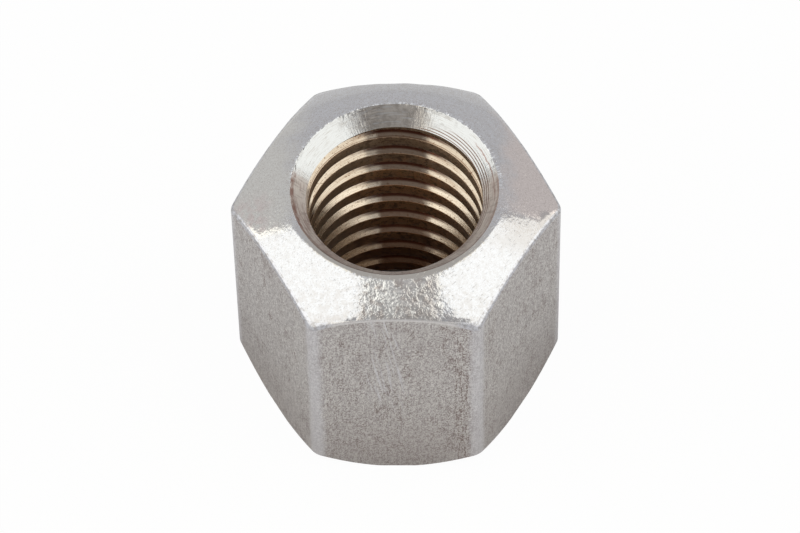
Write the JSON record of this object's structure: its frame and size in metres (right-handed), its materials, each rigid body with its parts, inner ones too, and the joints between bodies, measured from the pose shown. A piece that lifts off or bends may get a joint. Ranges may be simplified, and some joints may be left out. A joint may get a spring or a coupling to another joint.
{
  "type": "high hex nut",
  "caption": "Tall hexagon nut with a flat chamfered seat at one end and a spherical seat at the other, threaded right through for an M12 stud.",
  "frame": {"origin": "centre of the flat seat face, on the thread axis", "axes": "+Z along the thread axis, from the flat seat to the spherical end; +Y out of one flat, +X out of one long edge; metres"},
  "size_m": [0.0206, 0.018, 0.018],
  "materials": {
    "nut_steel": "bright turned and drawn steel, satin, with fine drawing lines on the flats"
  },
  "bodies": {
    "root": {"hex_nut": "nut_steel"}
  },
  "joints": []
}
